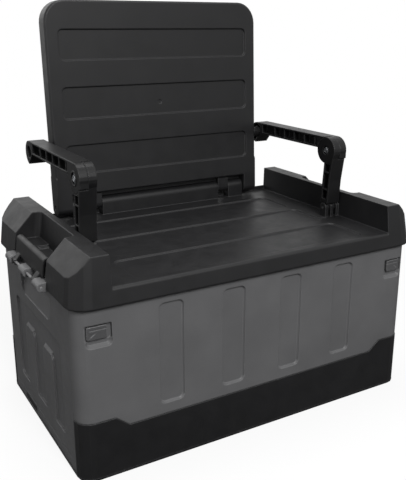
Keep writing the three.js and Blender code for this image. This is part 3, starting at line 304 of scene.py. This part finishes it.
# rounds the edges of a node with modifiers alone, so the CAD mesh stays as it is
def roundEdges(thing, width):
    weld = thing.modifiers.new("weld", "WELD")
    weld.merge_threshold = rounding["weldGap"] * mm
    flat = thing.modifiers.new("merge_flat_faces", "DECIMATE")
    flat.decimate_type = "DISSOLVE"
    flat.angle_limit = math.radians(rounding["flatTurn"])
    bevel = thing.modifiers.new("round_edges", "BEVEL")
    bevel.width = width * mm
    bevel.segments = rounding["segments"]
    bevel.limit_method = "ANGLE"
    bevel.angle_limit = math.radians(rounding["edgeTurn"])
    bevel.use_clamp_overlap = True
    bevel.miter_outer = "MITER_ARC"
    smooth = thing.modifiers.new("even_shading", "WEIGHTED_NORMAL")
    smooth.weight = rounding["flatWeight"]


for name, thing in nodes.items():
    material, width = finishes[kindOf(name)]
    thing.data.materials.clear()
    thing.data.materials.append(material)
    thing.data.polygons.foreach_set("use_smooth", [width > 0] * len(thing.data.polygons))
    if width > 0:
        roundEdges(thing, width)
print("nodes dressed")


# studio: a pale floor under a white sky
plainWhite = (1.0, 1.0, 1.0, 1.0)
studio = {
    "floorColor": "#f2f2f2", "bounceColor": "#4c4c4c",  # as the camera sees it, and as it lights the box
    "floorSize": 9.0, "floorGap": 0.0002,
    "nearShare": 0.85, "nearRadius": 0.45,  # share of plain white that the camera sees, close to the box
    "farShare": 1.0, "farRadius": 1.3,  # and further out
    "glossShare": 0.05,  # how much of that white shows in gloss, as the floor there is darker than the walls
    "skyStrength": 0.32,
}

# a big soft lamp in front, one above, weak ones behind and at the left; metres and watts
lamps = {
    "key": {"place": (-0.3, -2.3, 1.9), "size": 1.1, "power": 70.0},
    "top": {"place": (0.0, 0.4, 2.6), "size": 1.2, "power": 22.0},
    "rear": {"place": (-0.6, 2.4, 1.5), "size": 1.6, "power": 4.0},
    "left": {"place": (-2.2, -0.4, 0.9), "size": 1.0, "power": 7.0},
}


# true for what the camera sees directly, in gloss or through glass
def seenRays(tree, glossShare):
    path = addNode(tree, "ShaderNodeLightPath")
    gloss = addNode(tree, "ShaderNodeMath", {"operation": "MULTIPLY"}, {
        0: (path, "Is Glossy Ray"), 1: glossShare,
    })
    either = addNode(tree, "ShaderNodeMath", {"operation": "MAXIMUM"}, {
        0: (path, "Is Camera Ray"), 1: (gloss, "Value"),
    })
    return addNode(tree, "ShaderNodeMath", {"operation": "MAXIMUM"}, {
        0: (either, "Value"), 1: (path, "Is Transmission Ray"),
    })


def makeWorld():
    world = bpy.data.worlds.new("studio")
    bpy.context.scene.world = world
    world.use_nodes = True
    tree = world.node_tree
    tree.nodes.clear()
    seen = seenRays(tree, 1.0)
    strength = addNode(tree, "ShaderNodeMapRange", links={
        "Value": (seen, "Value"), "To Min": studio["skyStrength"], "To Max": 1.0,
    })
    sky = addNode(tree, "ShaderNodeBackground", links={"Color": plainWhite, "Strength": (strength, "Result")})
    addNode(tree, "ShaderNodeOutputWorld", links={"Surface": (sky, "Background")})


def makeFloor():
    half = studio["floorSize"] / 2
    mesh = bpy.data.meshes.new("studio_floor")
    corners = [(-half, -half, 0), (half, -half, 0), (half, half, 0), (-half, half, 0)]
    mesh.from_pydata(corners, [], [(0, 1, 2, 3)])
    floor = bpy.data.objects.new("studio_floor", mesh)
    floor.location.z = cadLow.z - studio["floorGap"]
    bpy.context.scene.collection.objects.link(floor)
    material, tree = newMaterial("matt_paper_floor")
    path = addNode(tree, "ShaderNodeLightPath")
    tint = addNode(tree, "ShaderNodeMix", {"data_type": "RGBA"}, {
        "Factor": (path, "Is Camera Ray"), 6: linear(studio["bounceColor"]), 7: linear(studio["floorColor"]),
    })
    paper = addNode(tree, "ShaderNodeBsdfDiffuse", links={"Color": (tint, 2)})
    white = addNode(tree, "ShaderNodeEmission", links={"Color": plainWhite, "Strength": 1.0})
    seen = seenRays(tree, studio["glossShare"])
    place = addNode(tree, "ShaderNodeTexCoord")
    distance = addNode(tree, "ShaderNodeVectorMath", {"operation": "LENGTH"}, {0: (place, "Object")})
    whiteness = addNode(tree, "ShaderNodeMapRange", {"interpolation_type": "SMOOTHSTEP"}, {
        "Value": (distance, "Value"), "From Min": studio["nearRadius"], "From Max": studio["farRadius"],
        "To Min": studio["nearShare"], "To Max": studio["farShare"],
    })
    share = addNode(tree, "ShaderNodeMath", {"operation": "MULTIPLY"}, {
        0: (seen, "Value"), 1: (whiteness, "Result"),
    })
    both = addNode(tree, "ShaderNodeMixShader", links={
        0: (share, "Value"), 1: (paper, "BSDF"), 2: (white, "Emission"),
    })
    addNode(tree, "ShaderNodeOutputMaterial", links={"Surface": (both, "Shader")})
    mesh.materials.append(material)


def makeLamp(name, place, size, power):
    data = bpy.data.lights.new(name, "AREA")
    data.shape = "DISK"
    data.size = size
    data.energy = power
    lamp = bpy.data.objects.new(name, data)
    lamp.location = place
    aim = Vector((0, 0, cadHigh.z / 2)) - Vector(place)
    lamp.rotation_mode = "QUATERNION"
    lamp.rotation_quaternion = aim.to_track_quat("-Z", "Y")
    bpy.context.scene.collection.objects.link(lamp)


makeWorld()
makeFloor()
for name, lamp in lamps.items():
    makeLamp(name + "_lamp", lamp["place"], lamp["size"], lamp["power"])
bpy.context.scene.view_settings.view_transform = "Standard"
print("studio set")
